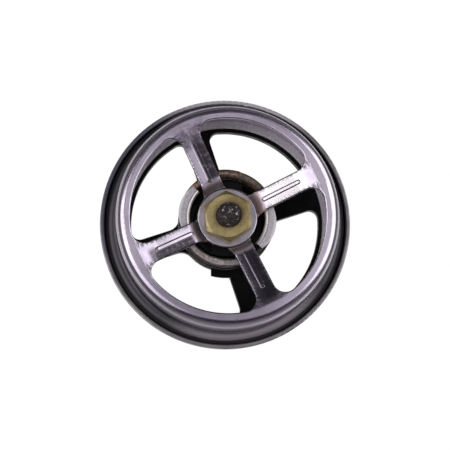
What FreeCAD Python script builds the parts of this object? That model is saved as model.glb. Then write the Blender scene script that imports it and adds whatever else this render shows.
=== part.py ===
# Sleeve type coolant valve with a wax element, for a flange seat of a large engine.
# Millimetres. +Z points out of the front. The origin is the centre of the flange rim,
# half way through its thickness. The front spokes lie along X and Y.
import FreeCAD
import Part
import math
import os

os.makedirs("parts", exist_ok=True)

# Flange ring
flange_r = 32.0            # outer edge
lip_wall = 1.2             # width of the raised rim
rim_height = 3.0           # underside to the top of the rim
floor_thick = 1.4          # floor that the valve seats on
seat_width = 1.8           # floor inside the skirt
rim_round = 0.35

# Valve wheel, one drawn sheet
wheel_height = 18.0        # front face above the flange rim
sheet = 0.9
shoulder_round = 1.75
ledge_width = 0.55         # cap steps in from the skirt
ledge_drop = 3.3           # step below the front face
ledge_round = 0.2
rim_band = 3.6             # openings to the outside of the skirt
spoke_width = 5.2
spoke_depth = 3.6          # spokes sink towards the hub
spoke_bend = 3.0
rim_corner = 3.0
root_corner = 5.0
dish_depth = 6.7           # hub below the front face
dish_top_r = 8.8
dish_round = 0.9           # bend from the spokes down to the hub
hub_open_r = 6.9           # inner edge of the openings
lip_gap = 0.9              # foot to the flange rim
foot_width = 2.2           # foot flares out from the skirt
foot_height = 1.7          # foot above the seat
foot_round = 1.1
foot_fillet = 0.9          # skirt into the foot
sheet_bend = 0.5
dish_bend = 0.25          # tight bend round the washer
edge_soft = 0.3

# Pressed ribs on the spokes
rib_width = 0.8
rib_height = 0.35
rib_from_r = 9.6
rib_end_gap = 4.5          # ribs to the openings' outer edge
rib_soft = 0.1

# Hub stack
washer_r = 7.55
washer_thick = 1.1
washer_round = 0.5
washer_gap = 0.05          # washer edge to the dish
nut_across = 11.1
nut_height = 4.1
nut_turn = 9.0
nut_sink = 0.35            # countersink round the stem
stem_r = 2.65
stem_past_nut = 4.3
stem_chamfer = 0.5
stem_gap = 0.05            # bores on the stem

# Piston and its guide
piston_r = 3.8
piston_gap = 0.05
guide_tube_r = 5.6
guide_height = 6.5         # guide above the flange rim
guide_neck_r = 6.8
neck_gap = 0.1
guide_flange_thick = 1.8
seal_height = 1.5
seal_section = 1.0

# Spring stirrups, bent strip
strip = 0.6
cage_r = 9.95              # outside of the legs
bend_inner = 0.15
cage_top_gap = 0.75        # tabs below the sheet of the spokes
tab_r = 12.25
tab_end_r = 11.5
tab_half_angle = 28.5
tab_angles = (140.5, 321.0)
carrier_turn = 244.0
carrier_width = 7.4
foot_r = 13.95
foot_drop = 0.5            # feet below the top of the flange rim

# Return spring
spring_outer_r = 12.15
wire = 1.8
spring_turns = 3.1
closed_turns = 0.8
spring_end_turn = 275.0
points_per_turn = 20

# Rear spider
spider_thick = 1.6
spider_edge = 3.6          # its edge to the flange edge
spider_recess = 0.3        # sunk into the flange underside
spider_fit = 0.05
spider_turn = -7.7
spider_spoke = 6.1
spider_corner = 2.2
spider_root = 3.5
spider_lip_wall = 1.0
spider_lip_depth = 1.6
spider_step = 0.9          # its openings end inside the floor
crimp_gap = 0.3            # rolled edge round the capsule crimp

# Retaining ring on the guide neck
ring_thick = 1.0
ring_outer_r = 8.3
ring_groove = 0.6
ring_slot = 2.6

# Wax element
case_r = 9.3
case_wall = 0.9
case_depth = 34.0          # below the top of the flange rim
case_round = 2.4
crimp_r = 10.6
crimp_fold = 0.8
crimp_wall = 0.9
diaphragm_thick = 1.2
plug_height = 4.6
disc_thick = 0.5
fit_gap = 0.05             # inner pieces to their walls

# Levels and radii that follow
rim_top = rim_height / 2.0
floor_bottom = rim_top - rim_height
wheel_top = rim_top + wheel_height
guide_tube_top = rim_top + guide_height
foot_bottom = rim_top - foot_drop
case_bottom = rim_top - case_depth
seat_z = floor_bottom + floor_thick
dish_floor_r = washer_r + washer_gap + dish_bend
foot_out_r = flange_r - lip_wall - lip_gap
wall_r = foot_out_r - foot_width
wall_in_r = wall_r - sheet
cap_r = wall_r - ledge_width
cap_in_r = cap_r - sheet
opening_r = wall_r - rim_band
floor_bore_r = wall_in_r - seat_width
rib_to_r = opening_r - rib_end_gap
sheet_under = wheel_top - sheet
ledge_z = wheel_top - ledge_drop
spoke_low = wheel_top - spoke_depth
spoke_under = spoke_low - sheet
hub_top = wheel_top - dish_depth
hub_under = hub_top - sheet
washer_top = hub_top + washer_thick
nut_top = washer_top + nut_height
stem_top = nut_top + stem_past_nut
carrier_under = hub_under - strip
cage_in_r = cage_r - strip
cage_bend = bend_inner + strip
tab_top = spoke_under - cage_top_gap
tab_under = tab_top - strip
foot_top = foot_bottom + strip
spider_ring_r = flange_r - spider_edge
spider_open_r = floor_bore_r - spider_step
spider_hub_r = crimp_r + crimp_gap + spider_lip_wall
spider_top = floor_bottom + spider_recess
spider_under = spider_top - spider_thick
cage_base_top = spider_top + strip
ring_top = cage_base_top + ring_thick
neck_top = ring_top + ring_groove
bore_r = stem_r + stem_gap
guide_bore_r = piston_r + piston_gap
crimp_top = spider_under
guide_flange_top = crimp_top - crimp_fold
guide_flange_under = guide_flange_top - guide_flange_thick
guide_flange_r = crimp_r - crimp_wall
case_shoulder = guide_flange_under - diaphragm_thick
case_in_r = case_r - case_wall
plug_top = guide_flange_under + plug_height
piston_bottom = plug_top + disc_thick
reach = 2.0 * flange_r


def at(r, z):
    return FreeCAD.Vector(r, 0.0, z)


def rounded_edges(corners):
    """Edges of a closed outline of (r, z, round) corners in the XZ plane."""
    spots = [at(r, z) for r, z, _ in corners]
    count = len(corners)
    joins = []
    for i, (_, _, rounding) in enumerate(corners):
        here = spots[i]
        back = (spots[i - 1] - here).normalize()
        ahead = (spots[(i + 1) % count] - here).normalize()
        if rounding <= 0.0:
            joins.append((here, None, here))
            continue
        half = back.getAngle(ahead) / 2.0
        along = rounding / math.tan(half)
        middle = (back + ahead).normalize()
        centre = here + middle * (rounding / math.sin(half))
        joins.append((here + back * along, centre - middle * rounding, here + ahead * along))
    edges = []
    for i, (start, through, end) in enumerate(joins):
        if through is not None:
            edges.append(Part.Arc(start, through, end).toShape())
        following = joins[(i + 1) % count][0]
        if end.distanceToPoint(following) > 1e-6:
            edges.append(Part.LineSegment(end, following).toShape())
    return edges


def turned(corners):
    """Solid of revolution about Z of a closed (r, z, round) outline."""
    wire_loop = Part.Wire(Part.__sortEdges__(rounded_edges(corners)))
    face = Part.Face(wire_loop)
    return face.revolve(FreeCAD.Vector(0, 0, 0), FreeCAD.Vector(0, 0, 1), 360.0)


def disc(radius, low, high):
    return Part.makeCylinder(radius, high - low, FreeCAD.Vector(0, 0, low))


def tube(outer, inner, low, high):
    return disc(outer, low, high).cut(disc(inner, low, high))


def spun(shape, degrees):
    copy = shape.copy()
    copy.rotate(FreeCAD.Vector(0, 0, 0), FreeCAD.Vector(0, 0, 1), degrees)
    return copy


def sector(radius, low, high, middle, half):
    """Pie wedge about Z, centred on an angle."""
    wedge = Part.makeCylinder(radius, high - low, at(0, low), FreeCAD.Vector(0, 0, 1), 2.0 * half)
    return spun(wedge, middle - half)


def upright_edges(shape):
    picked = []
    for edge in shape.Edges:
        a, b = edge.Vertexes[0].Point, edge.Vertexes[-1].Point
        if abs(a.x - b.x) < 1e-6 and abs(a.y - b.y) < 1e-6 and abs(a.z - b.z) > 1e-6:
            picked.append((math.hypot(a.x, a.y), edge))
    return picked


def opening(inner, outer, half_width, root, corner, low, high):
    """Prism of one opening between two spokes, in the first quadrant."""
    block = Part.makeBox(outer, outer, high - low, FreeCAD.Vector(half_width, half_width, low))
    block = block.common(disc(outer, low, high)).cut(disc(inner, low, high))
    middle = (inner + outer) / 2.0
    near = [edge for r, edge in upright_edges(block) if r < middle]
    block = block.makeFillet(root, near)
    far = [edge for r, edge in upright_edges(block) if r > outer - corner]
    return block.makeFillet(corner, far)


def four(shape, turn=0.0):
    return [spun(shape, turn + 90.0 * k) for k in range(4)]


def rims(shape, gaps, face, reach_off):
    """Edges where openings meet a front face, which is given as its height at a radius."""
    walls = Part.makeCompound(gaps)
    picked = []
    for edge in shape.Edges:
        middle = edge.valueAt((edge.FirstParameter + edge.LastParameter) / 2.0)
        off = abs(middle.z - face(math.hypot(middle.x, middle.y)))
        if off < reach_off and Part.Vertex(middle).distToShape(walls)[0] < 1e-4:
            picked.append(edge)
    return picked


def tidy(shape):
    solid = shape.removeSplitter()
    return solid.Solids[0] if len(solid.Solids) == 1 else solid


def flange_ring():
    recess_r = spider_ring_r + spider_fit
    return turned([
        (floor_bore_r, spider_top, edge_soft),
        (recess_r, spider_top, 0.0),
        (recess_r, floor_bottom, 0.0),
        (flange_r, floor_bottom, rim_round),
        (flange_r, rim_top, rim_round),
        (flange_r - lip_wall, rim_top, rim_round),
        (flange_r - lip_wall, seat_z, edge_soft),
        (floor_bore_r, seat_z, edge_soft),
    ])


def rear_spider():
    half = spider_spoke / 2.0
    plate = disc(spider_ring_r, spider_under, spider_top)
    low = spider_under - spider_lip_depth
    wall = spider_lip_wall
    gap = opening(spider_hub_r, spider_open_r, half, spider_root, spider_corner, low, spider_top)
    rolled = opening(spider_hub_r - wall, spider_open_r + wall, half - wall,
                     spider_root + wall, spider_corner + wall, low, spider_under)
    spider = plate.fuse(four(rolled, spider_turn))
    gaps = four(gap, spider_turn)
    spider = spider.cut(gaps)
    spider = tidy(spider.cut(disc(guide_neck_r + neck_gap, low, spider_top)))
    return spider.makeFillet(edge_soft, rims(spider, gaps, lambda r: spider_top, spider_thick / 4.0))


def wheel_sheet():
    """One drawn sheet: hub, ramp, sinking spoke face, shoulder, ledge, skirt and flared foot."""
    crest = seat_z + foot_height
    slope = math.atan2(spoke_low - hub_top, dish_top_r - dish_floor_r)
    shift = sheet * math.tan(slope / 2.0)
    return turned([
        (bore_r, hub_top, 0.0),
        (dish_floor_r, hub_top, dish_bend),
        (dish_top_r, spoke_low, dish_round),
        (opening_r, wheel_top, spoke_bend),
        (cap_r, wheel_top, shoulder_round),
        (cap_r, ledge_z, ledge_round),
        (wall_r, ledge_z, ledge_round),
        (wall_r, crest, foot_fillet),
        (foot_out_r, crest, foot_round),
        (foot_out_r, seat_z, edge_soft),
        (wall_in_r, seat_z, edge_soft),
        (wall_in_r, ledge_z - sheet, ledge_round),
        (cap_in_r, ledge_z - sheet, ledge_round),
        (cap_in_r, sheet_under, shoulder_round - sheet),
        (opening_r, sheet_under, spoke_bend),
        (dish_top_r + shift, spoke_under, sheet_bend),
        (dish_floor_r + shift, hub_under, sheet_bend),
        (bore_r, hub_under, 0.0),
    ])


def spoke_face(r):
    """Height of the wheel's front at a radius outside the ramp."""
    along = (r - dish_top_r) / (opening_r - dish_top_r)
    return spoke_low + spoke_depth * min(along, 1.0)


def spoke_rib():
    """Pressed rib, tilted with the sinking face of its spoke."""
    half = rib_width / 2.0
    root = sheet / 2.0
    low, high = spoke_low - root, spoke_low + rib_height
    length = rib_to_r - rib_from_r - rib_width
    rib = Part.makeBox(length, rib_width, high - low,
                       FreeCAD.Vector(rib_from_r + half, -half, low))
    for r in (rib_from_r + half, rib_to_r - half):
        rib = rib.fuse(Part.makeCylinder(half, high - low, at(r, low)))
    rib = rib.removeSplitter()
    rib = rib.makeFillet(rib_soft, [e for e in rib.Edges if e.BoundBox.ZMin > high - rib_soft])
    rise = math.degrees(math.atan2(spoke_depth, opening_r - dish_top_r))
    rib.rotate(at(dish_top_r, spoke_low), FreeCAD.Vector(0, 1, 0), -rise)
    return rib


def valve_wheel():
    gap = opening(hub_open_r, opening_r, spoke_width / 2.0, root_corner, rim_corner,
                  hub_under - sheet, wheel_top + sheet)
    gaps = four(gap)
    wheel = tidy(wheel_sheet().cut(gaps))
    wheel = wheel.makeFillet(edge_soft, rims(wheel, gaps, spoke_face, sheet / 4.0))
    wheel = wheel.fuse(four(spoke_rib()))
    return tidy(wheel)


def hub_washer():
    return turned([
        (bore_r, hub_top, 0.0),
        (washer_r, hub_top, 0.0),
        (washer_r, washer_top, washer_round),
        (bore_r, washer_top, 0.0),
    ])


def hex_nut():
    corner_r = nut_across / math.sqrt(3.0)
    points = []
    for k in range(7):
        a = math.radians(nut_turn + 60.0 * k)
        points.append(FreeCAD.Vector(corner_r * math.cos(a), corner_r * math.sin(a), washer_top))
    nut = Part.Face(Part.makePolygon(points)).extrude(FreeCAD.Vector(0, 0, nut_height))
    drop = (corner_r - nut_across / 2.0) * math.tan(math.radians(30.0))
    flat_r = 0.95 * nut_across / 2.0
    bevel = turned([
        (0.0, washer_top, 0.0),
        (corner_r, washer_top, 0.0),
        (corner_r, nut_top - 2.0 * drop, 0.0),
        (flat_r, nut_top, 0.0),
        (0.0, nut_top, 0.0),
    ])
    sink = turned([
        (0.0, washer_top, 0.0),
        (bore_r, washer_top, 0.0),
        (bore_r, nut_top - nut_sink, 0.0),
        (bore_r + nut_sink, nut_top, 0.0),
        (0.0, nut_top, 0.0),
    ])
    return tidy(nut.common(bevel).cut(sink))


def piston():
    return turned([
        (0.0, piston_bottom, 0.0),
        (piston_r, piston_bottom, edge_soft),
        (piston_r, carrier_under, 0.0),
        (stem_r, carrier_under, 0.0),
        (stem_r, stem_top - stem_chamfer, 0.0),
        (stem_r - stem_chamfer, stem_top, 0.0),
        (0.0, stem_top, 0.0),
    ])


def spring_carrier():
    """Moving stirrup: a strip over the piston shoulder with feet under the spring."""
    section = turned([
        (bore_r, hub_under, 0.0),
        (cage_r, hub_under, cage_bend),
        (cage_r, foot_top, bend_inner),
        (foot_r, foot_top, 0.0),
        (foot_r, foot_bottom, 0.0),
        (cage_in_r, foot_bottom, cage_bend),
        (cage_in_r, carrier_under, bend_inner),
        (bore_r, carrier_under, 0.0),
    ])
    strap = Part.makeBox(2.0 * reach, carrier_width, reach,
                         FreeCAD.Vector(-reach, -carrier_width / 2.0, foot_bottom - strip))
    return tidy(section.common(spun(strap, carrier_turn)))


def tab_trim(middle):
    """Outline that gives one tab its bowed free edge."""
    half = math.radians(tab_half_angle)
    depth = tab_r - tab_end_r * math.cos(half)
    chord = tab_end_r * math.sin(half)
    bow_r = (chord * chord + depth * depth) / (2.0 * depth)
    shift = tab_r - bow_r
    bow = Part.makeCylinder(bow_r, reach, at(shift, -reach / 2.0))
    return spun(bow, middle)


def spring_cage():
    """Fixed stirrup: a base ring on the spider, two legs and tabs over the spring."""
    low, high = spider_top - strip, tab_top + strip
    cage = tube(cage_r, guide_neck_r + neck_gap, spider_top, cage_base_top)
    section = turned([
        (cage_in_r - strip, spider_top, 0.0),
        (cage_r, spider_top, 0.0),
        (cage_r, tab_under, bend_inner),
        (tab_r, tab_under, 0.0),
        (tab_r, tab_top, 0.0),
        (cage_in_r, tab_top, cage_bend),
        (cage_in_r, cage_base_top, 0.0),
        (cage_in_r - strip, cage_base_top, 0.0),
    ])
    for middle in tab_angles:
        leg = section.common(sector(reach, low, high, middle, tab_half_angle))
        cage = cage.fuse(leg.common(tab_trim(middle)))
    return tidy(cage)


def return_spring():
    """Closed and ground coil spring between the feet and the tabs."""
    mean_r = spring_outer_r - wire / 2.0
    low, high = foot_top, tab_under
    start, finish = low + 0.25 * wire, high - 0.25 * wire
    rise = finish - start
    closed_rise = 0.9 * wire * closed_turns
    active_turns = spring_turns - 2.0 * closed_turns
    count = int(round(spring_turns * points_per_turn))
    points = []
    for k in range(count + 1):
        turn = spring_turns * k / count
        if turn < closed_turns:
            z = start + closed_rise * turn / closed_turns
        elif turn > spring_turns - closed_turns:
            z = finish - closed_rise * (spring_turns - turn) / closed_turns
        else:
            share = (turn - closed_turns) / active_turns
            z = start + closed_rise + (rise - 2.0 * closed_rise) * share
        a = math.radians(spring_end_turn) + 2.0 * math.pi * (turn - spring_turns)
        points.append(FreeCAD.Vector(mean_r * math.cos(a), mean_r * math.sin(a), z))
    curve = Part.BSplineCurve()
    curve.interpolate(points)
    path = Part.Wire(curve.toShape())
    heading = curve.tangent(curve.FirstParameter)[0]
    circle = Part.Wire(Part.Circle(points[0], heading, wire / 2.0).toShape())
    coil = path.makePipeShell([circle], True, True)
    coil = Part.Solid(coil) if coil.ShapeType != "Solid" else coil
    return tidy(coil.common(disc(reach, low, high)))


def retaining_ring():
    ring = turned([
        (guide_neck_r - ring_groove, cage_base_top, 0.0),
        (ring_outer_r, cage_base_top, 0.0),
        (ring_outer_r, ring_top, edge_soft),
        (guide_neck_r - ring_groove, ring_top, 0.0),
    ])
    slot = Part.makeBox(reach, ring_slot, 3.0 * ring_thick,
                        FreeCAD.Vector(0, -ring_slot / 2.0, cage_base_top - ring_thick))
    return tidy(ring.cut(slot))


def element_guide():
    groove_r = guide_neck_r - ring_groove - fit_gap
    return turned([
        (guide_bore_r, guide_flange_under, 0.0),
        (guide_flange_r - fit_gap, guide_flange_under, edge_soft),
        (guide_flange_r - fit_gap, guide_flange_top, edge_soft),
        (guide_neck_r, guide_flange_top, 0.0),
        (guide_neck_r, cage_base_top, 0.0),
        (groove_r, cage_base_top, 0.0),
        (groove_r, ring_top, 0.0),
        (guide_neck_r, ring_top, 0.0),
        (guide_neck_r, neck_top, edge_soft),
        (guide_tube_r, neck_top + (guide_neck_r - guide_tube_r), 0.0),
        (guide_tube_r, guide_tube_top, edge_soft),
        (piston_r + seal_section, guide_tube_top, 0.0),
        (piston_r + seal_section, guide_tube_top - seal_height, 0.0),
        (guide_bore_r, guide_tube_top - seal_height, 0.0),
    ])


def guide_seal():
    return tube(piston_r + seal_section - fit_gap, guide_bore_r,
                guide_tube_top - seal_height, guide_tube_top - fit_gap)


def element_case():
    bottom = case_bottom
    return turned([
        (0.0, bottom, 0.0),
        (case_r, bottom, case_round),
        (case_r, case_shoulder - case_wall, edge_soft),
        (crimp_r, case_shoulder - case_wall, edge_soft),
        (crimp_r, crimp_top, crimp_fold / 2.0),
        (guide_neck_r + crimp_wall, crimp_top, 0.0),
        (guide_neck_r + crimp_wall, guide_flange_top, 0.0),
        (guide_flange_r, guide_flange_top, 0.0),
        (guide_flange_r, case_shoulder, 0.0),
        (case_in_r, case_shoulder, 0.0),
        (case_in_r, bottom + case_wall, case_round - case_wall),
        (0.0, bottom + case_wall, 0.0),
    ])


def element_wax():
    low = case_bottom + case_wall
    return turned([
        (0.0, low, 0.0),
        (case_in_r - fit_gap, low, case_round - case_wall),
        (case_in_r - fit_gap, case_shoulder, 0.0),
        (0.0, case_shoulder, 0.0),
    ])


def element_diaphragm():
    return disc(guide_flange_r - fit_gap, case_shoulder, guide_flange_under)


def element_plug():
    return disc(piston_r - fit_gap, guide_flange_under, plug_top)


def element_disc():
    return disc(piston_r - fit_gap, plug_top, piston_bottom)


pieces = {
    "flange_ring": flange_ring,
    "rear_spider": rear_spider,
    "spring_cage": spring_cage,
    "retaining_ring": retaining_ring,
    "element_case": element_case,
    "element_wax": element_wax,
    "element_diaphragm": element_diaphragm,
    "element_plug": element_plug,
    "element_disc": element_disc,
    "element_guide": element_guide,
    "guide_seal": guide_seal,
    "valve_wheel": valve_wheel,
    "hub_washer": hub_washer,
    "hex_nut": hex_nut,
    "piston": piston,
    "spring_carrier": spring_carrier,
    "return_spring": return_spring,
}

for name, make in pieces.items():
    shape = make()
    shape.exportStep("parts/" + name + ".step")
    print(name, len(shape.Solids), shape.isValid(), round(shape.Volume, 1))
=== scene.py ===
import math

import bpy
from mathutils import Matrix, Vector


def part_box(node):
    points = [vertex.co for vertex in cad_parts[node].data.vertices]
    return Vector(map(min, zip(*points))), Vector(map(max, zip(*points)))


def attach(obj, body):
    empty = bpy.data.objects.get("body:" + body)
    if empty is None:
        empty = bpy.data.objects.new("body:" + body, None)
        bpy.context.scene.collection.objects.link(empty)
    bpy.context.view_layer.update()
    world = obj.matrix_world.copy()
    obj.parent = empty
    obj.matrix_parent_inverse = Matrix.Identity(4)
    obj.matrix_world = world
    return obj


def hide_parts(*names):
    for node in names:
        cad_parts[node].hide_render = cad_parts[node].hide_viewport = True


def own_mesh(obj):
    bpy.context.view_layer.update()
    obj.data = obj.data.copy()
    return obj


bl_info = {
    "name": "Sleeve valve finisher",
    "version": (1, 0, 0),
    "blender": (4, 5, 0),
    "location": "3D view > Sidebar > Valve",
    "description": "Gives a wax driven coolant valve its finishes, coil, thread and studio",
    "category": "Object",
}

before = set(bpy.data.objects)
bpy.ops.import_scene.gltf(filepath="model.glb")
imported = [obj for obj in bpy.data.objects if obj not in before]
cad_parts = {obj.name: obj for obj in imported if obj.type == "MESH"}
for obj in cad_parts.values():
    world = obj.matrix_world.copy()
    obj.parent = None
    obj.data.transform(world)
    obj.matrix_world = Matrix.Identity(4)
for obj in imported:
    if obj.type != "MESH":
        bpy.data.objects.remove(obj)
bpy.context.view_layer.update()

MM = 0.001
FIXED = "frame"
MOVING = "sleeve_valve"


# Sizes read from the solids

def top_of(node):
    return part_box(node)[1].z


def low_of(node):
    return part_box(node)[0].z


def radius_of(node):
    low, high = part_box(node)
    return (high.x - low.x) / 2.0


def end_radius(node, stretch=1.5 * MM):
    """Widest reach of a node's mesh in the last stretch below its top."""
    start = top_of(node) - stretch
    ends = [v.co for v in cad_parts[node].data.vertices if v.co.z > start]
    return max(math.hypot(p.x, p.y) for p in ends)


# Places on the pieces are counted in steps of the flange's radius, so that films, wear and the painted
# light and shade follow the size of the solids; on the valve as it is drawn, a step is one millimetre
FLANGE_STEPS = 32.0
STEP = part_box("flange_ring")[1].x / FLANGE_STEPS


# Shader building

def scaled(shade, share):
    """A colour made lighter or darker."""
    return tuple(share * v for v in shade)


class Tree:
    """Short calls for the nodes of one shader. Places are in metres, but reach and window
    count them in steps of the flange's radius, and relief takes depths in millimetres."""

    def __init__(self, tree):
        self.nodes = tree.nodes
        self.links = tree.links

    def put(self, socket, value):
        if isinstance(value, bpy.types.NodeSocket):
            self.links.new(value, socket)
        elif socket.type == "RGBA":
            socket.default_value = (*value, 1.0)
        else:
            socket.default_value = value

    def math(self, operation, a, b=0.0, clamp=False):
        made = self.nodes.new("ShaderNodeMath")
        made.operation = operation
        made.use_clamp = clamp
        self.put(made.inputs[0], a)
        self.put(made.inputs[1], b)
        return made.outputs[0]

    def times(self, *values):
        """Product of two or more values."""
        made = values[0]
        for value in values[1:]:
            made = self.math("MULTIPLY", made, value)
        return made

    def most(self, *values):
        """Largest of two or more values."""
        made = values[0]
        for value in values[1:]:
            made = self.math("MAXIMUM", made, value)
        return made

    def unsigned(self, value):
        """A value without its sign."""
        return self.math("ABSOLUTE", value)

    def gap(self, a, b):
        """How far apart two values are."""
        return self.unsigned(self.math("SUBTRACT", a, b))

    def rest(self, share):
        """What a share leaves of one."""
        return self.math("SUBTRACT", 1.0, share)

    def ease(self, value, none, full, start=0.0, end=1.0):
        """Smooth step between two levels of a value; none may lie above full."""
        made = self.nodes.new("ShaderNodeMapRange")
        made.interpolation_type = "SMOOTHSTEP"
        for socket, given in zip(made.inputs, (value, none, full, start, end)):
            self.put(socket, given)
        return made.outputs[0]

    def reach(self, value, none, full, start=0.0, end=1.0):
        """Smooth step between two places on the valve."""
        return self.ease(value, none * STEP, full * STEP, start, end)

    def window(self, value, none, full, fade, gone):
        """One from full to fade, and nothing before none or after gone."""
        return self.times(self.reach(value, none, full), self.reach(value, gone, fade))

    def mix(self, share, a, b):
        made = self.nodes.new("ShaderNodeMix")
        made.data_type = "RGBA"
        self.put(made.inputs[0], share)
        self.put(made.inputs[6], a)
        self.put(made.inputs[7], b)
        return made.outputs[2]

    def layers(self, tone, *films):
        """A colour under films, each given by its share and its colour."""
        for share, shade in films:
            tone = self.mix(share, tone, shade)
        return tone

    def noise(self, scale, detail=4.0, rough=0.55, where=None):
        made = self.nodes.new("ShaderNodeTexNoise")
        self.put(made.inputs["Vector"], self.point if where is None else where)
        made.inputs["Scale"].default_value = scale
        made.inputs["Detail"].default_value = detail
        made.inputs["Roughness"].default_value = rough
        return made.outputs["Fac"]

    def cells(self, scale):
        made = self.nodes.new("ShaderNodeTexVoronoi")
        self.put(made.inputs["Vector"], self.point)
        made.inputs["Scale"].default_value = scale
        return made.outputs["Distance"]

    def split(self, vector):
        """The three parts of a vector."""
        parts = self.nodes.new("ShaderNodeSeparateXYZ")
        self.links.new(vector, parts.inputs[0])
        return parts.outputs

    def join(self, x, y, z):
        made = self.nodes.new("ShaderNodeCombineXYZ")
        for socket, given in zip(made.inputs, (x, y, z)):
            self.put(socket, given)
        return made.outputs[0]

    def locate(self):
        """Keeps the point on the object, its parts and its distance from the axis."""
        self.point = self.nodes.new("ShaderNodeTexCoord").outputs["Object"]
        self.x, self.y, self.z = self.split(self.point)
        squares = self.math("ADD", self.times(self.x, self.x), self.times(self.y, self.y))
        self.radius = self.math("SQRT", squares)

    def facing(self):
        """How far the surface faces up and how far it faces away from the axis."""
        nx, ny, nz = self.split(self.nodes.new("ShaderNodeTexCoord").outputs["Normal"])
        out = self.math("ADD", self.times(nx, self.x), self.times(ny, self.y))
        return nz, self.math("DIVIDE", out, self.radius)

    def along(self, side):
        """Distance from the axis in one direction, negative on the other side."""
        return self.math("ADD", self.times(self.x, math.cos(side)), self.times(self.y, math.sin(side)))

    def toward(self, side):
        """One on the side of the axis that lies in the given direction, minus one opposite."""
        return self.math("DIVIDE", self.along(side), self.radius)

    def relief(self, *bumps):
        """Bumps over each other, each given by its height, depth in millimetres and strength."""
        normal = None
        for height, depth, strength in bumps:
            made = self.nodes.new("ShaderNodeBump")
            made.inputs["Strength"].default_value = strength
            made.inputs["Distance"].default_value = depth * MM
            self.links.new(height, made.inputs["Height"])
            if normal is not None:
                self.links.new(normal, made.inputs["Normal"])
            normal = made.outputs[0]
        return normal

    def surface(self, tone, metallic, rough, normal):
        """Sets what the shader shows."""
        body = self.nodes["Principled BSDF"]
        given = {"Base Color": tone, "Metallic": metallic, "Roughness": rough, "Normal": normal}
        for name, value in given.items():
            self.put(body.inputs[name], value)


def new_finish(name):
    """A new material, and the tree of its shader with the point on the object in it."""
    material = bpy.data.materials.new(name)
    material.use_nodes = True
    t = Tree(material.node_tree)
    t.locate()
    return material, t


def dress(node, material):
    """Gives a solid one finish all over."""
    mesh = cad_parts[node].data
    if not mesh.materials:
        mesh.materials.append(material)
    for i in range(len(mesh.materials)):
        mesh.materials[i] = material


# Drawn sheet of the wheel

RIB_WIDTH = 0.8 * STEP
RIB_FROM = 9.6 * STEP
RIB_TO = 19.6 * STEP
SPOKE_HALF = 2.6 * STEP
SPOKE_START = (9.4, 10.4)
LUG_MIDDLE = 0.8 * STEP
LEDGE_DROP = 3.3 * STEP
SHADE_SIDE = math.radians(228.0)
# Side on which the painted shade of the skirt is lighter
SKIRT_LIT_SIDE = math.radians(256.0)
SHEEN_SIDE = math.radians(154.0)
# Black for the real pits and for the painted shade round the rib
PIT_AND_SHADE_BLACK = (0.05, 0.045, 0.05)
EDGE_MARK = (0.09, 0.075, 0.08)
# Painted highlight on the faces of the left and right spokes
SPOKE_HIGHLIGHT = (0.97, 0.92, 0.97)
# Painted sheen on the upper spoke and on the shoulder
SHEEN_VIOLET = (0.95, 0.87, 1.0)
DEEP_VIOLET = (0.17, 0.125, 0.19)
# Painted highlight along the ledge
LEDGE_HIGHLIGHT = (0.8, 0.74, 0.84)
# Foot colours: dust and painted shade, paler where painted light falls
FOOT_DARK = (0.085, 0.075, 0.09)
FOOT_PALE = (0.3, 0.265, 0.3)


def rib_distance(t, along, off):
    """Distance to the outline of the pressed rib, negative on the rib."""
    half = RIB_WIDTH / 2.0
    middle, reach = (RIB_FROM + RIB_TO) / 2.0, (RIB_TO - RIB_FROM) / 2.0 - half
    past = t.most(t.math("SUBTRACT", t.gap(along, middle), reach), 0.0)
    squares = t.math("ADD", t.times(past, past), t.times(off, off))
    return t.math("SUBTRACT", t.math("SQRT", squares), half)


def painted_half_shade(t):
    """Painted shade on the shaded halves of three spokes, from the edge of the hub outwards."""
    left, down = t.times(t.x, -1.0), t.times(t.y, -1.0)
    patches = t.ease(t.noise(900.0, 4.0, 0.65), 0.28, 0.5, 0.8, 1.0)
    low = t.times(t.window(left, *SPOKE_START, 20.0, 21.5), t.reach(t.y, -0.3, -0.6))
    end = t.times(t.window(left, 19.4, 20.0, 21.0, 22.4), t.reach(t.y, 1.6, -0.2), 0.85)
    right = t.times(t.window(t.y, *SPOKE_START, 18.6, 22.6), t.reach(t.x, -0.45, -0.1))
    below = t.times(t.window(down, *SPOKE_START, 22.0, 24.0), t.reach(t.x, -3.0, 0.5, 0.3, 0.72))
    upright = t.times(t.reach(t.unsigned(t.x), 3.6, 2.8), t.most(right, below))
    level = t.times(t.reach(t.unsigned(t.y), 4.2, 3.0), t.most(low, end))
    return t.times(patches, t.most(upright, level))


def lug_smear(t):
    """Mottled patch where the upper spoke meets the rim."""
    patches = t.ease(t.noise(620.0, 4.0, 0.7), 0.38, 0.6, 0.15, 0.75)
    across = t.reach(t.gap(t.x, LUG_MIDDLE), 5.0, 2.2)
    return t.times(patches, t.window(t.y, 17.5, 20.0, 23.0, 25.5), across)


def painted_spoke_highlight(t):
    """Painted highlight on the faces of the left and right spokes, brightest on the right."""
    return t.times(t.reach(t.unsigned(t.x), 9.5, 11.0), t.reach(t.radius, 25.2, 23.6),
                   t.reach(t.unsigned(t.y), 6.0, 3.0), t.reach(t.radius, 22.5, 19.5, 0.15, 1.0),
                   t.reach(t.x, 0.0, 2.0, 0.3, 0.9))


def painted_sheen(t):
    """Painted sheen on the paler half of the upper spoke, and on the shoulder on two opposite sides."""
    above = t.times(t.window(t.y, 9.5, 11.0, 18.0, 21.5), t.reach(t.x, 0.2, -0.3), 0.35)
    shoulder = t.times(t.ease(t.unsigned(t.toward(SHEEN_SIDE)), 0.5, 0.95),
                       t.reach(t.radius, 22.5, 24.5), t.reach(t.x, -5.0, 5.0, 0.24, 0.45))
    return t.most(above, shoulder)


def painted_ledge_highlight(t):
    """Painted highlight along the thin line where the cap steps down to the skirt."""
    height = top_of("valve_wheel") - LEDGE_DROP
    return t.times(t.reach(t.gap(t.z, height), 0.2, 0.04), t.reach(t.radius, 26.9, 27.1))


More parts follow.
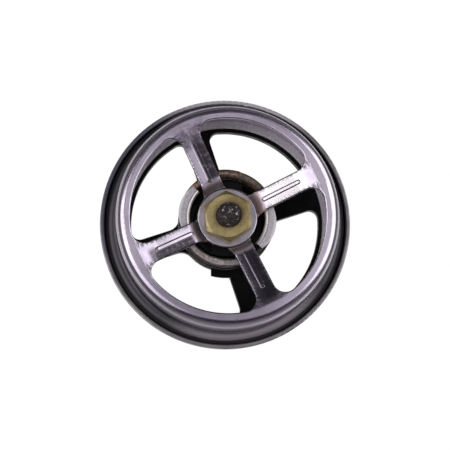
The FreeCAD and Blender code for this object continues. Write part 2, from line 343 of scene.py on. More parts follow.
def upright_faces(t, up, out, on_spoke, off):
    """Skirt, foot and cut sides of the spokes, where painted shade goes."""
    foot = t.times(t.reach(t.z, 14.0, 9.0), t.reach(t.radius, 27.2, 27.5))
    sides = t.times(t.ease(up, 0.75, 0.3), on_spoke, t.reach(off, 1.8, 2.4))
    return t.most(t.ease(out, 0.5, 0.66), sides, foot)


def edge_marks(t, along, off, on_spoke):
    """Short dark marks across the edges of the spokes."""
    streaks = t.noise(700.0, 3.0, 0.6, t.join(t.times(along, 4.0), off, t.z))
    return t.times(t.reach(off, 1.5, 2.75), on_spoke, t.ease(streaks, 0.47, 0.62))


def sheet_relief(t, off, rib, marks):
    """Crowned spokes that bend up to the rim, pressed ribs, grain and sunken marks."""
    across = t.math("MINIMUM", t.math("DIVIDE", off, SPOKE_HALF), 1.0)
    crown = t.times(t.rest(t.times(across, across)), t.reach(t.radius, 25.0, 19.0),
                    t.reach(t.radius, 8.8, 10.5))
    bend = t.reach(t.radius, 18.6, 24.0)
    ridge = t.reach(rib, 0.28, -0.1)
    grain = t.noise(2600.0, 3.0, 0.6)
    return t.relief((crown, 0.15, 1.0), (bend, 0.5, 1.0), (ridge, 0.1, 1.0),
                    (grain, 0.012, 0.5), (t.rest(marks), 0.05, 0.6))


def drawn_steel(tones):
    """Satin drawn sheet: clouding, painted highlights and sheen, painted shade on upright faces, pitted
    spoke edges, brown spoke roots.
    """
    material, t = new_finish("drawn_steel")
    off = t.math("MINIMUM", t.unsigned(t.x), t.unsigned(t.y))
    along = t.most(t.unsigned(t.x), t.unsigned(t.y))
    up, out = t.facing()
    on_spoke = t.reach(t.radius, 24.6, 23.0)
    clouds = t.noise(260.0, 5.0, 0.6)

    rib = rib_distance(t, along, off)
    # Painted shade along the outline of the pressed rib
    groove = t.times(t.reach(t.unsigned(rib), 0.17, 0.05), 0.65)
    marks = edge_marks(t, along, off, on_spoke)
    pits = t.times(t.ease(t.cells(1500.0), 0.16, 0.05), t.ease(t.noise(500.0, 2.0), 0.52, 0.66))
    root = t.times(t.reach(t.radius, 10.2, 8.9), t.ease(t.noise(420.0), 0.3, 0.6, 0.7, 1.0))
    # The brown root stain is real; its copy four times lighter on one side is painted light
    brown = t.mix(t.reach(t.x, 5.0, 9.0), tones.stain, scaled(tones.stain, 4.2))
    ledge_highlight = painted_ledge_highlight(t)
    shade = t.times(t.ease(t.toward(SHADE_SIDE), 0.6, 0.98), t.reach(t.radius, 21.0, 24.0), 0.45)
    # Painted shade on the inner faces, which turn towards the axis
    inner = t.times(t.ease(out, -0.35, -0.75), 0.35)

    # Painted shade on the upright faces: darkest away from one side, lighter on it and lightest low on the
    # skirt there
    glow = t.ease(t.toward(SKIRT_LIT_SIDE), 0.7, 0.97)
    flank = t.times(upright_faces(t, up, out, on_spoke, off), t.rest(ledge_highlight))
    film = t.layers(scaled(tones.painted_shade_tone, 0.4), (glow, tones.painted_shade_tone),
                    (t.times(glow, t.reach(t.z, 5.0, 2.5)), scaled(tones.painted_shade_tone, 2.3)))
    # Dark foot crest, partly dust and partly painted shade, paler on the lit side as painted light
    foot_dust_and_shade = t.times(t.reach(t.z, 2.5, 1.7), t.reach(t.radius, 28.2, 28.8), 0.9)

    # Painted highlights on spoke faces, sheen and ledge; painted shade on one side, inner and upright
    # faces,
    # spoke halves and rib outline; the rest are clouding, stains, marks, pits and foot dust
    tone = t.layers(
        tones.steel, (t.ease(clouds, 0.3, 0.75, 0.0, 0.6), tones.steel_dull),
        (painted_spoke_highlight(t), SPOKE_HIGHLIGHT), (painted_sheen(t), SHEEN_VIOLET), (lug_smear(t), DEEP_VIOLET),
        (ledge_highlight, LEDGE_HIGHLIGHT), (shade, tones.painted_shade_tone), (inner, tones.painted_shade_tone),
        (t.times(flank, 0.94), film), (painted_half_shade(t), scaled(tones.painted_shade_tone, 0.5)),
        (t.times(marks, 0.8), EDGE_MARK), (groove, PIT_AND_SHADE_BLACK), (t.times(root, 0.9), brown),
        (t.times(pits, 0.6), PIT_AND_SHADE_BLACK), (foot_dust_and_shade, t.mix(glow, FOOT_DARK, FOOT_PALE)))
    metallic = t.ease(t.most(root, foot_dust_and_shade, ledge_highlight), 0.0, 1.0, 1.0, 0.15)
    dull = t.math("ADD", marks, t.math("ADD", root, flank))
    rough = t.math("ADD", t.ease(clouds, 0.3, 0.7, 0.19, 0.27), t.times(dull, 0.2))
    rough = t.math("ADD", rough, t.times(ledge_highlight, 0.25))
    t.surface(tone, metallic, rough, sheet_relief(t, off, rib, marks))
    return material


# Turned and stamped rings

# Sides and colours of the painted light and shade on the flange
FLANGE_LIT_SIDE = math.radians(64.0)
FLANGE_SHADE_SIDE = math.radians(128.0)
FLANGE_STEEL = (0.33, 0.31, 0.33)
FLANGE_LIT = (0.68, 0.62, 0.7)
FLANGE_SHADE = (0.12, 0.125, 0.18)
GROOVE_SHADE = (0.014, 0.013, 0.014)
LIP_GREY = (0.68, 0.64, 0.7)
LIP_PALE = (0.9, 0.86, 0.92)
WASHER_STEEL = (0.5, 0.45, 0.51)
CLIP_STEEL = (0.06, 0.058, 0.06)
RING_SPECK = (0.07, 0.06, 0.06)


def ring_steel(name, shade, rough, groove, painted_light=None):
    """Steel with faint rings about the axis, and with painted light and shade over it where asked."""
    material, t = new_finish(name)
    clouds = t.noise(300.0, 5.0, 0.6)
    rings = t.noise(5200.0, 2.0, 0.5, t.join(t.radius, t.z, 0.0))
    specks = t.ease(t.cells(1300.0), 0.14, 0.04)
    tone = t.layers(shade, (t.ease(clouds, 0.3, 0.7), scaled(shade, 0.72)),
                    (t.times(specks, 0.4), RING_SPECK))
    metallic = 1.0
    if painted_light is not None:
        tone, metallic = painted_light(t, tone)
    t.surface(tone, metallic, t.ease(clouds, 0.3, 0.7, rough, rough + 0.1),
              t.relief((rings, groove, 0.5)))
    return material


def flange_lit_and_shaded(t, tone):
    """Painted light on one side, bluish painted shade on another and in the groove round the foot, and a
    speckled inner lip made lighter as painted light.
    """
    low = t.reach(t.z, 0.8, 0.3)
    flange_lit_side = t.toward(FLANGE_LIT_SIDE)
    # Painted shade in the groove round the foot, light on the lit side
    groove_shade = t.times(low, t.reach(t.radius, 27.6, 28.4), t.ease(flange_lit_side, 0.8, 0.96, 0.92, 0.1))
    # Inner lip made lighter as painted light, under a real speckle
    lit_lip = t.times(low, t.reach(t.radius, 27.4, 27.0))
    speckle = t.mix(t.ease(t.noise(2600.0, 3.0, 0.7), 0.4, 0.6), LIP_GREY, LIP_PALE)
    tone = t.layers(
        tone, (t.ease(flange_lit_side, 0.7, 0.95, 0.0, 0.85), FLANGE_LIT),
        (t.ease(t.toward(FLANGE_SHADE_SIDE), 0.6, 0.95, 0.0, 0.75), FLANGE_SHADE),
        (groove_shade, GROOVE_SHADE), (lit_lip, speckle))
    return tone, t.ease(lit_lip, 0.0, 1.0, 1.0, 0.25)


# Stirrups and rear plate

TAB_LINE = 10.3 * STEP
TAB_DEPTH = 1.0 * STEP
LEG_FADE = 0.6 * STEP
CAGE_STEEL = (0.76, 0.69, 0.76)
# Painted highlight on the edges of the tabs
CAGE_HIGHLIGHT = (0.95, 0.92, 0.95)
CAGE_LINE = (0.1, 0.09, 0.1)
# Near black painted shade for the stirrup legs and the carrier
STIRRUP_SHADE = (0.01, 0.01, 0.011)


def grained_steel(name, shade, rough, light_and_shade=None):
    """Cut strip with a fine blasted grain, and with painted light and shade over it where asked."""
    material, t = new_finish(name)
    grain = t.noise(2300.0, 3.0, 0.75)
    clouds = t.noise(500.0, 3.0, 0.6)
    tone = t.layers(scaled(shade, 0.74), (t.ease(grain, 0.42, 0.6), shade),
                    (t.ease(clouds, 0.55, 0.8, 0.0, 0.4), scaled(shade, 0.45)))
    if light_and_shade is not None:
        tone = light_and_shade(t, tone)
    t.surface(tone, 0.9, t.ease(clouds, 0.3, 0.7, rough, rough + 0.12), t.relief((grain, 0.03, 0.6)))
    return material


def tab_highlights_and_shade(t, tone):
    """Tabs of the cage with painted highlights on their edges and a thin dark line beside the inner edge,
    over legs in painted shade.
    """
    # Painted highlights on the inner and outer edges of the tabs
    edges = t.most(t.reach(t.radius, 10.15, 10.0), t.reach(t.radius, 11.5, 11.8))
    line = t.reach(t.gap(t.radius, TAB_LINE), 0.16, 0.04)
    legs_from = top_of("spring_cage") - TAB_DEPTH
    # Painted shade on the legs below the tabs
    shaded_legs = t.ease(t.z, legs_from, legs_from - LEG_FADE, 0.0, 0.97)
    return t.layers(tone, (t.times(edges, 0.8), CAGE_HIGHLIGHT), (t.times(line, 0.55), CAGE_LINE),
                    (shaded_legs, STIRRUP_SHADE))


def black_steel(tones):
    """Plate behind the wheel, near black as painted shade."""
    material, t = new_finish("black_steel")
    clouds = t.noise(240.0, 5.0, 0.6)
    tone = t.mix(t.ease(clouds, 0.4, 0.75), tones.spider, scaled(tones.spider, 2.2))
    t.surface(tone, 0.5, t.ease(clouds, 0.3, 0.7, 0.4, 0.58),
              t.relief((t.noise(2200.0, 3.0, 0.6), 0.02, 0.5)))
    t.nodes["Principled BSDF"].inputs["Specular IOR Level"].default_value = 0.15
    return material


# Nut, stem and spring

STAIN_SIDE = math.radians(14.0)
STAIN_LEAN = 0.55 * STEP
STAIN_WANDER = 5.0 * STEP
RUST_SIDE = math.radians(44.0)
RUST_WANDER = 9.0 * STEP
GROUND_FROM = 0.65 * STEP
GROUND_TO = 0.25 * STEP
NUT_BLOT = (0.24, 0.155, 0.06)
NUT_RING = (0.13, 0.075, 0.03)
# Painted shade in the gap round the stem
NUT_GAP_SHADE = (0.022, 0.013, 0.01)
NUT_PIT = (0.1, 0.065, 0.028)
STEM_RUST = (0.06, 0.032, 0.025)
STEM_GLINT = (0.7, 0.63, 0.68)
COIL_GREY = (0.24, 0.2, 0.2)
COIL_PALE = (0.56, 0.49, 0.5)
COIL_BROWN = (0.2, 0.11, 0.08)
COIL_RUST = (1.0, 0.66, 0.48)
# Painted shade for the coils below the top
COIL_SHADE = (0.03, 0.029, 0.031)


def stained_brass(tones):
    """Dull nut brass, brown round the stem and on one side, with painted shade in the gap round the stem
    and small dark pits.
    """
    material, t = new_finish("stained_brass")
    clouds = t.noise(420.0, 5.0, 0.6)
    wander = t.times(t.math("SUBTRACT", clouds, 0.5), STAIN_WANDER)
    leaning = t.math("SUBTRACT", t.radius, t.times(t.toward(STAIN_SIDE), STAIN_LEAN))
    blot = t.times(t.reach(t.math("ADD", t.along(STAIN_SIDE), wander), 2.2, 5.0), 0.6)
    ring = t.reach(t.math("ADD", leaning, t.times(wander, 0.5)), 4.3, 2.7)
    # Painted shade in the gap between the stem and the nut
    gap_shade = t.reach(leaning, 3.35, 2.75)
    pits = t.times(t.ease(t.noise(2400.0, 3.0, 0.6), 0.56, 0.66), t.reach(leaning, 6.2, 3.6))
    tone = t.layers(
        tones.brass, (t.ease(clouds, 0.3, 0.72), tones.brass_dull), (blot, NUT_BLOT),
        (t.times(ring, 0.75), NUT_RING), (t.times(gap_shade, 0.97), NUT_GAP_SHADE),
        (t.times(pits, 0.75), NUT_PIT))
    t.surface(tone, t.ease(ring, 0.0, 1.0, 0.8, 0.3), t.ease(clouds, 0.3, 0.7, 0.38, 0.52),
              t.relief((t.noise(3200.0, 3.0, 0.6), 0.02, 0.6)))
    return material


def corroded_steel(tones):
    """Near black, lumpy stem end with a few bright glints."""
    material, t = new_finish("corroded_steel")
    lumps = t.noise(800.0, 3.0, 0.6)
    glint = t.ease(t.noise(950.0, 4.0, 0.7), 0.57, 0.66)
    tone = t.layers(tones.stem, (t.ease(t.noise(600.0, 3.0, 0.6), 0.48, 0.62), STEM_RUST),
                    (t.times(glint, 0.8), STEM_GLINT))
    t.surface(tone, t.ease(glint, 0.0, 1.0, 0.6, 1.0), t.ease(lumps, 0.3, 0.7, 0.2, 0.5),
              t.relief((lumps, 0.9, 1.0)))
    return material


def rusted_spring():
    """Spring wire: rust on one side, pale speckle on the other, painted shade below its ground top."""
    material, t = new_finish("rusted_spring")
    wander = t.times(t.math("SUBTRACT", t.noise(260.0, 3.0), 0.5), RUST_WANDER)
    rusty = t.reach(t.math("ADD", t.along(RUST_SIDE), wander), -2.0, 4.5)
    speck = t.noise(1500.0, 4.0, 0.75)
    pale = t.mix(t.ease(speck, 0.4, 0.62), COIL_GREY, COIL_PALE)
    brown = t.mix(t.ease(speck, 0.42, 0.58), COIL_BROWN, COIL_RUST)
    tone = t.mix(rusty, pale, brown)
    top = top_of("return_spring")
    ground = t.ease(t.z, top - GROUND_FROM, top - GROUND_TO)
    # Painted shade on the coils below the ground top
    tone = t.mix(ground, t.mix(0.82, tone, COIL_SHADE), tone)
    t.surface(tone, t.ease(rusty, 0.0, 1.0, 0.85, 0.1), t.ease(speck, 0.3, 0.7, 0.36, 0.6),
              t.relief((speck, 0.05, 0.7)))
    return material


# Wax capsule

GUIDE_BRASS = (0.02, 0.017, 0.013)
WAX = (0.5, 0.36, 0.22)
RUBBER = (0.03, 0.03, 0.03)
DISC_PLASTIC = (0.7, 0.7, 0.66)


def plain_finish(name, shade, rough, grain, depth, metallic=0.0):
    """Even surface with a fine grain, for the capsule and its inner pieces."""
    material, t = new_finish(name)
    clouds = t.noise(0.25 * grain, 5.0, 0.6)
    tone = t.mix(t.ease(clouds, 0.3, 0.75), shade, scaled(shade, 0.84))
    t.surface(tone, metallic, t.ease(clouds, 0.3, 0.7, rough, rough + 0.14),
              t.relief((t.noise(grain, 3.0, 0.6), depth, 0.5)))
    return material


# Geometry node building

class Shape:
    """Short calls for the nodes of one geometry tree."""

    def __init__(self, name):
        self.tree = bpy.data.node_groups.new(name, "GeometryNodeTree")
        self.nodes = self.tree.nodes
        self.links = self.tree.links
        self.keys = {}
        self.tree.interface.new_socket("Geometry", in_out="OUTPUT", socket_type="NodeSocketGeometry")
        self.entry = self.nodes.new("NodeGroupInput")
        self.exit = self.nodes.new("NodeGroupOutput")

    def size(self, label, value, whole=False):
        """Adds a named input and keeps the value that build gives it."""
        kind = "NodeSocketInt" if whole else "NodeSocketFloat"
        socket = self.tree.interface.new_socket(label, in_out="INPUT", socket_type=kind)
        self.keys[label] = (socket.identifier, value)
        return self.entry.outputs[label]

    def put(self, socket, value):
        if isinstance(value, bpy.types.NodeSocket):
            self.links.new(value, socket)
        elif value is not None:
            socket.default_value = value

    def node(self, kind, *values, **settings):
        made = self.nodes.new(kind)
        for name, value in settings.items():
            setattr(made, name, value)
        for socket, value in zip([s for s in made.inputs if s.enabled], values):
            self.put(socket, value)
        return made

    def math(self, operation, a, b=None):
        return self.node("ShaderNodeMath", a, b, operation=operation).outputs[0]

    def span(self, value, low, high, start, end):
        return self.node("ShaderNodeMapRange", value, low, high, start, end).outputs[0]

    def path(self, count):
        """A curve of so many points, and each point's share of the way along it."""
        line = self.node("GeometryNodeCurvePrimitiveLine", mode="POINTS")
        many = self.nodes.new("GeometryNodeResampleCurve")
        self.links.new(line.outputs[0], many.inputs["Curve"])
        self.put(many.inputs["Count"], count)
        return many.outputs[0], self.node("GeometryNodeSplineParameter").outputs["Factor"]

    def round_spot(self, radius, angle, z):
        """The place at a radius, an angle and a height about the axis."""
        x = self.math("MULTIPLY", radius, self.math("COSINE", angle))
        y = self.math("MULTIPLY", radius, self.math("SINE", angle))
        return self.node("ShaderNodeCombineXYZ", x, y, z).outputs[0]

    def move(self, geometry, spot):
        made = self.nodes.new("GeometryNodeSetPosition")
        self.links.new(geometry, made.inputs["Geometry"])
        self.links.new(spot, made.inputs["Position"])
        return made.outputs[0]

    def wire(self, curve, radius, sides):
        """Round wire along a curve, closed at its ends."""
        ring = self.node("GeometryNodeCurvePrimitiveCircle", mode="RADIUS")
        ring.inputs["Resolution"].default_value = sides
        self.links.new(radius, ring.inputs["Radius"])
        made = self.nodes.new("GeometryNodeCurveToMesh")
        self.links.new(curve, made.inputs["Curve"])
        self.links.new(ring.outputs[0], made.inputs["Profile Curve"])
        made.inputs["Fill Caps"].default_value = True
        return made.outputs[0]

    def finish(self, geometry, material):
        whole = self.node("GeometryNodeRealizeInstances", geometry).outputs[0]
        made = self.nodes.new("GeometryNodeSetMaterial")
        self.links.new(whole, made.inputs["Geometry"])
        made.inputs["Material"].default_value = material
        self.links.new(made.outputs[0], self.exit.inputs[0])

    def build(self, name, material):
        """Runs the tree and keeps its result as a plain mesh."""
        holder = bpy.data.objects.new(name + "_maker", bpy.data.meshes.new(name + "_maker"))
        bpy.context.scene.collection.objects.link(holder)
        maker = holder.modifiers.new("maker", "NODES")
        maker.node_group = self.tree
        for key, value in self.keys.values():
            maker[key] = value
        bpy.context.view_layer.update()
        seen = holder.evaluated_get(bpy.context.evaluated_depsgraph_get())
        mesh = bpy.data.meshes.new_from_object(seen)
        mesh.name = name
        holder.modifiers.remove(maker)
        bpy.data.objects.remove(holder)
        if not mesh.materials:
            mesh.materials.append(material)
        mesh.shade_smooth()
        piece = bpy.data.objects.new(name, mesh)
        bpy.context.scene.collection.objects.link(piece)
        return piece


# Coil and thread

FULL_TURN = 2.0 * math.pi
COIL_STEPS = 96
COIL_SIDES = 28
CLOSED_RISE = 1.8
GROUND_SHARE = 0.5
THREAD_POINTS = 260
THREAD_SIDES = 6
THREAD_SUNK = 0.3 * MM
THREAD_SHORT = 0.75 * MM


def coil_shape(sizes, material):
    """Closed and ground coil: the wire follows a turn with three stretches of rise."""
    s = Shape("spring_coil")
    low = s.size("Low face", low_of("return_spring"))
    high = s.size("High face", top_of("return_spring"))
    mean = s.size("Mean radius", sizes.outer - sizes.wire / 2.0)
    wire = s.size("Wire radius", sizes.wire / 2.0)
    turns = s.size("Turns", sizes.turns)
    closed = s.size("Closed turns", sizes.closed)
    end = s.size("End angle", sizes.end_angle)
    steps = s.size("Steps", int(sizes.turns * COIL_STEPS), whole=True)

    curve, share = s.path(steps)
    turn = s.math("MULTIPLY", share, turns)
    last = s.math("SUBTRACT", turns, closed)
    sunk = s.math("MULTIPLY", wire, GROUND_SHARE)
    start_z = s.math("ADD", low, sunk)
    full = s.math("SUBTRACT", s.math("SUBTRACT", high, sunk), start_z)
    closed_rise = s.math("MULTIPLY", s.math("MULTIPLY", wire, CLOSED_RISE), closed)
    middle_rise = s.math("SUBTRACT", full, s.math("MULTIPLY", closed_rise, 2.0))
    z = start_z
    for begin, until, rise in ((0.0, closed, closed_rise), (closed, last, middle_rise),
                               (last, turns, closed_rise)):
        z = s.math("ADD", z, s.span(turn, begin, until, 0.0, rise))
    angle = s.math("ADD", end, s.math("MULTIPLY", s.math("SUBTRACT", turn, turns), FULL_TURN))
    coil = s.wire(s.move(curve, s.round_spot(mean, angle, z)), wire, COIL_SIDES)

    where = s.node("ShaderNodeSeparateXYZ", s.node("GeometryNodeInputPosition").outputs[0])
    held = s.math("MINIMUM", s.math("MAXIMUM", where.outputs[2], low), high)
    ground = s.node("ShaderNodeCombineXYZ", where.outputs[0], where.outputs[1], held).outputs[0]
    s.finish(s.move(coil, ground), material)
    return s.build("return_spring_coil", material)


def thread_shape(sizes, material):
    """Thread ridge that runs round the free end of the stem."""
    s = Shape("stem_thread")
    low = s.size("Start", top_of("hex_nut") - THREAD_SUNK)
    high = s.size("End", top_of("piston") - THREAD_SHORT)
    root = s.size("Stem radius", sizes.stem_radius)
    pitch = s.size("Pitch", sizes.pitch)
    crest = s.size("Crest", sizes.crest)

    curve, share = s.path(THREAD_POINTS)
    run = s.math("SUBTRACT", high, low)
    turns = s.math("DIVIDE", run, pitch)
    angle = s.math("MULTIPLY", s.math("MULTIPLY", share, turns), FULL_TURN)
    z = s.math("ADD", low, s.math("MULTIPLY", share, run))
    s.finish(s.wire(s.move(curve, s.round_spot(root, angle, z)), crest, THREAD_SIDES), material)
    return s.build("stem_thread", material)


# Sizes and colours that a user would change

def tint(label, words, default):
    return bpy.props.FloatVectorProperty(
        name=label, description=words, default=default, size=3, subtype="COLOR", min=0.0, max=1.0)


def length(label, words, default):
    return bpy.props.FloatProperty(
        name=label, description=words, default=default, unit="LENGTH", precision=5, min=0.0)


def offset(label, words, default):
    return bpy.props.FloatProperty(
        name=label, description=words, default=default, unit="LENGTH", precision=5)


def angle(label, words, degrees):
    return bpy.props.FloatProperty(
        name=label, description=words, default=math.radians(degrees), subtype="ANGLE")


def amount(label, words, default):
    return bpy.props.FloatProperty(name=label, description=words, default=default)


class ValveTones(bpy.types.PropertyGroup):
    steel: tint("Steel", "Bright areas of the drawn wheel", (0.68, 0.595, 0.76))
    steel_dull: tint("Dull steel", "Clouded areas of the drawn wheel", (0.44, 0.385, 0.5))
    # Painted shade on the skirt, the spoke sides, the inner faces and one side of the rim
    painted_shade_tone: tint("Tarnish", "Dark film on the skirt and the flanks", (0.11, 0.095, 0.12))
    stain: tint("Stain", "Brown film at the spoke roots", (0.18, 0.138, 0.138))
    brass: tint("Brass", "Bright areas of the hub nut", (0.58, 0.465, 0.235))
    brass_dull: tint("Dull brass", "Clouded areas of the hub nut", (0.36, 0.28, 0.13))
    # The rear plate colour is near black painted shade
    spider: tint("Rear plate", "Dark coating of the rear spokes", (0.006, 0.006, 0.0065))
    stem: tint("Stem", "Corroded end of the stem", (0.03, 0.025, 0.028))
    capsule: tint("Capsule", "Metal of the wax capsule", (0.5, 0.38, 0.2))


class SpringSizes(bpy.types.PropertyGroup):
    outer: length("Outer radius", "Outside of the coil", radius_of("return_spring"))
    wire: length("Wire", "Wire diameter", 1.8 * MM)
    turns: amount("Turns", "Turns in all", 3.1)
    closed: amount("Closed turns", "Closed turns at each end", 0.8)
    end_angle: angle("End angle", "Where the top end lies", 275.0)


class ThreadSizes(bpy.types.PropertyGroup):
    stem_radius: length("Stem radius", "Radius of the plain stem", end_radius("piston") - 0.02 * MM)
    pitch: length("Pitch", "Rise of one turn", 1.0 * MM)
    crest: length("Crest", "Height of the ridge", 0.22 * MM)


class StudioSizes(bpy.types.PropertyGroup):
    distance: length("Camera distance", "From the flange to the camera", 440.0 * MM)
    tilt: angle("Tilt", "Camera off the valve's axis", 7.2)
    side: angle("Side", "Way in which the camera is off the axis", 224.8)
    roll: angle("Roll", "Direction that is up in the picture", 64.0)
    lens: amount("Lens", "Focal length in millimetres", 137.8)
    aim_right: offset("Aim right", "Aim beside the axis", -0.1 * MM)
    aim_up: offset("Aim up", "Aim above the axis", -0.36 * MM)
    ceiling: amount("Ceiling", "Light from straight above", 0.54)
    walls: amount("Walls", "Light from round about", 0.05)


# Studio

CEILING_CORE = math.radians(14.0)
CEILING_EDGE = math.radians(31.0)
CEILING_LEAN = math.radians(8.0)
CEILING_SIDE = math.radians(290.0)
HORIZON_TOP = 0.12
WHITE = (1.0, 1.0, 1.0)
TABLE_COLOUR = (0.9, 0.9, 0.9)
TABLE_GLOW = 1.08
TABLE_SEEN = 0.9
TABLE_HALF = 1.5
LAMP_DISTANCE = 600.0 * MM
SENSOR_WIDTH = 36.0


def way_from(side, rise):
    """Direction that points to a side of the valve and rises over its flange, in radians."""
    return Vector((math.cos(side) * math.cos(rise), math.sin(side) * math.cos(rise), math.sin(rise)))


def seen_rays(t):
    """One for rays that look at the background directly or by a mirror or glass."""
    paths = t.nodes.new("ShaderNodeLightPath")
    seen = t.math("ADD", paths.outputs["Is Camera Ray"], paths.outputs["Is Glossy Ray"])
    return t.math("ADD", seen, paths.outputs["Is Transmission Ray"], clamp=True)


def either(t, share, first, second):
    """Mixes two shaders."""
    made = t.nodes.new("ShaderNodeMixShader")
    for socket, given in zip(made.inputs, (share, first, second)):
        t.put(socket, given)
    return made.outputs[0]


def background(t, strength):
    """White light of a given strength."""
    made = t.nodes.new("ShaderNodeBackground")
    t.put(made.inputs["Color"], WHITE)
    t.put(made.inputs["Strength"], strength)
    return made.outputs[0]


def room_light(near_axis, around):
    """Grey ceiling over the valve, darker walls, and white below the horizon."""
    world = bpy.data.worlds.new("studio_room")
    bpy.context.scene.world = world
    world.use_nodes = True
    t = Tree(world.node_tree)
    t.nodes.clear()
    way = t.nodes.new("ShaderNodeTexCoord").outputs["Generated"]
    lean = t.nodes.new("ShaderNodeVectorMath")
    lean.operation = "DOT_PRODUCT"
    t.links.new(way, lean.inputs[0])
    lean.inputs[1].default_value = way_from(CEILING_SIDE, math.pi / 2.0 - CEILING_LEAN)
    ceiling = t.ease(lean.outputs["Value"], math.cos(CEILING_EDGE), math.cos(CEILING_CORE),
                     around, near_axis)
    below = t.ease(t.split(way)[2], HORIZON_TOP, 0.5 * HORIZON_TOP)
    share = t.math("MULTIPLY", seen_rays(t), below)
    out = t.nodes.new("ShaderNodeOutputWorld")
    t.links.new(either(t, share, background(t, ceiling), background(t, 1.0)), out.inputs[0])


def table_finish():
    """White table that keeps a light shadow."""
    material = bpy.data.materials.new("white_table")
    material.use_nodes = True
    t = Tree(material.node_tree)
    t.nodes.clear()
    matt = t.nodes.new("ShaderNodeBsdfDiffuse")
    t.put(matt.inputs["Color"], TABLE_COLOUR)
    glow = t.nodes.new("ShaderNodeEmission")
    t.put(glow.inputs["Strength"], TABLE_GLOW)
    share = t.math("MULTIPLY", seen_rays(t), TABLE_SEEN)
    out = t.nodes.new("ShaderNodeOutputMaterial")
    t.links.new(either(t, share, matt.outputs[0], glow.outputs[0]), out.inputs[0])
    return material


def lay_table():
    """Square table under the capsule."""
    low, half = low_of("element_case"), TABLE_HALF
    mesh = bpy.data.meshes.new("table")
    corners = [(-half, -half, low), (half, -half, low), (half, half, low), (-half, half, low)]
    mesh.from_pydata(corners, [], [(0, 1, 2, 3)])
    mesh.materials.append(table_finish())
    table = bpy.data.objects.new("table", mesh)
    bpy.context.scene.collection.objects.link(table)


def lamp(name, side, rise, wide, tall, level):
    """Soft box aimed at the valve; wide and tall are its angles as the valve sees it."""
    data = bpy.data.lights.new(name, "AREA")
    data.shape = "RECTANGLE"
    data.size = 2.0 * LAMP_DISTANCE * math.tan(math.radians(wide / 2.0))
    data.size_y = 2.0 * LAMP_DISTANCE * math.tan(math.radians(tall / 2.0))
    data.energy = level * math.pi * data.size * data.size_y
    item = bpy.data.objects.new(name, data)
    bpy.context.scene.collection.objects.link(item)
    way = way_from(math.radians(side), math.radians(rise))
    item.location = way * LAMP_DISTANCE
    item.rotation_mode = "QUATERNION"
    item.rotation_quaternion = way.to_track_quat("Z", "Y")


def aim_camera(studio):
    """Camera in front of the flange, a little off the axis."""
    up = Vector((math.cos(studio.roll), math.sin(studio.roll), 0.0))
    side = up.cross(Vector((0.0, 0.0, 1.0)))
    target = Vector((0.0, 0.0, top_of("flange_ring")))
    target += side * studio.aim_right + up * studio.aim_up
    away = way_from(studio.side, math.pi / 2.0 - studio.tilt)
    level = (up - away * up.dot(away)).normalized()
    data = bpy.data.cameras.new("front_camera")
    data.lens = studio.lens
    data.sensor_width = SENSOR_WIDTH
    camera = bpy.data.objects.new("front_camera", data)
    bpy.context.scene.collection.objects.link(camera)
    axes = Matrix((level.cross(away), level, away)).transposed().to_4x4()
    camera.matrix_world = Matrix.Translation(target + away * studio.distance) @ axes
    bpy.context.scene.camera = camera


# Operators

class VALVE_OT_studio(bpy.types.Operator):
    """Set up the table, the room, the lights and the camera"""
    bl_idname = "valve.studio"
    bl_label = "Set up the studio"

    def execute(self, context):
        studio = context.scene.studio_sizes
        context.scene.view_settings.view_transform = "Standard"
        room_light(studio.ceiling, studio.walls)
        lay_table()
        lamp("left_window", side=169.0, rise=38.0, wide=56.0, tall=68.0, level=1.55)
        lamp("right_window", side=344.0, rise=36.0, wide=60.0, tall=62.0, level=1.48)
        aim_camera(studio)
        return {"FINISHED"}


class VALVE_OT_steel(bpy.types.Operator):
    """Finish the wheel, washer, flange and spring stirrups"""
    bl_idname = "valve.steel"
    bl_label = "Finish the steel pieces"

    def execute(self, context):
        tones = context.scene.valve_tones
        dress("valve_wheel", drawn_steel(tones))
        flange = ring_steel("flange_steel", FLANGE_STEEL, rough=0.34, groove=0.01, painted_light=flange_lit_and_shaded)
        dress("flange_ring", flange)
        dress("hub_washer", ring_steel("washer_steel", WASHER_STEEL, rough=0.17, groove=0.006))
        dress("retaining_ring", ring_steel("clip_steel", CLIP_STEEL, rough=0.35, groove=0.01))
        dress("spring_cage", grained_steel("cage_steel", CAGE_STEEL, rough=0.3, light_and_shade=tab_highlights_and_shade))
        # The carrier takes the painted shade colour all over
        dress("spring_carrier", grained_steel("carrier_steel", STIRRUP_SHADE, rough=0.36))
        dress("rear_spider", black_steel(tones))
        return {"FINISHED"}


class VALVE_OT_hub(bpy.types.Operator):
    """Finish the nut and the stem, and cut the thread"""
    bl_idname = "valve.hub"
    bl_label = "Finish the hub nut and stem"

    def execute(self, context):
        tones = context.scene.valve_tones
        dress("hex_nut", stained_brass(tones))
        stem = corroded_steel(tones)
        dress("piston", stem)
        thread = thread_shape(context.scene.thread_sizes, stem)
        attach(thread, MOVING)
        return {"FINISHED"}


class VALVE_OT_spring(bpy.types.Operator):
    """Wind the coil in place of the drawn spring and hang it on the fixed body"""
    bl_idname = "valve.spring"
    bl_label = "Wind the return spring"

    def execute(self, context):
        coil = coil_shape(context.scene.spring_sizes, rusted_spring())
        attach(coil, FIXED)
        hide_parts("return_spring")
        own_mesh(coil)
        return {"FINISHED"}


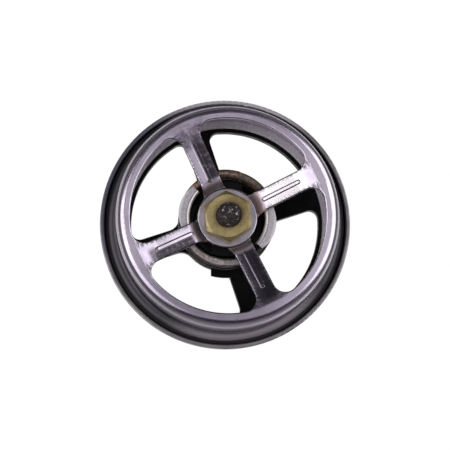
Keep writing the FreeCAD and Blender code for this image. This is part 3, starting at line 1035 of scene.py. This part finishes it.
class VALVE_OT_capsule(bpy.types.Operator):
    """Finish the wax capsule and what is in it"""
    bl_idname = "valve.capsule"
    bl_label = "Finish the wax capsule"

    def execute(self, context):
        shade = tuple(context.scene.valve_tones.capsule)
        case = plain_finish("capsule_metal", shade, rough=0.34, grain=1800.0, depth=0.02, metallic=0.9)
        guide = plain_finish("guide_metal", GUIDE_BRASS, rough=0.4, grain=1800.0, depth=0.02, metallic=0.85)
        disc = plain_finish("disc_plastic", DISC_PLASTIC, rough=0.45, grain=2000.0, depth=0.01)
        rubber = plain_finish("rubber", RUBBER, rough=0.6, grain=2600.0, depth=0.02)
        dress("element_case", case)
        dress("element_guide", guide)
        dress("element_wax", plain_finish("wax", WAX, rough=0.5, grain=900.0, depth=0.03))
        dress("element_disc", disc)
        for node in ("element_diaphragm", "element_plug", "guide_seal"):
            dress(node, rubber)
        return {"FINISHED"}


class VALVE_PT_panel(bpy.types.Panel):
    """Steps and sizes of the valve"""
    bl_idname = "VALVE_PT_panel"
    bl_label = "Sleeve valve"
    bl_space_type = "VIEW_3D"
    bl_region_type = "UI"
    bl_category = "Valve"

    def draw(self, context):
        for step in STEPS:
            self.layout.operator(step.bl_idname)
        for group, _ in GROUPS:
            holder = getattr(context.scene, group)
            box = self.layout.box()
            for name in holder.bl_rna.properties.keys():
                if name not in ("rna_type", "name"):
                    box.prop(holder, name)


STEPS = (VALVE_OT_studio, VALVE_OT_steel, VALVE_OT_hub, VALVE_OT_spring, VALVE_OT_capsule)
GROUPS = (("valve_tones", ValveTones), ("spring_sizes", SpringSizes),
          ("thread_sizes", ThreadSizes), ("studio_sizes", StudioSizes))


def register():
    for group, kind in GROUPS:
        bpy.utils.register_class(kind)
        setattr(bpy.types.Scene, group, bpy.props.PointerProperty(type=kind))
    for kind in (*STEPS, VALVE_PT_panel):
        bpy.utils.register_class(kind)


def unregister():
    for kind in (VALVE_PT_panel, *reversed(STEPS)):
        bpy.utils.unregister_class(kind)
    for group, kind in reversed(GROUPS):
        delattr(bpy.types.Scene, group)
        bpy.utils.unregister_class(kind)


def main():
    register()
    bpy.ops.valve.studio()
    bpy.ops.valve.steel()
    bpy.ops.valve.hub()
    bpy.ops.valve.spring()
    bpy.ops.valve.capsule()


if __name__ == "__main__":
    main()
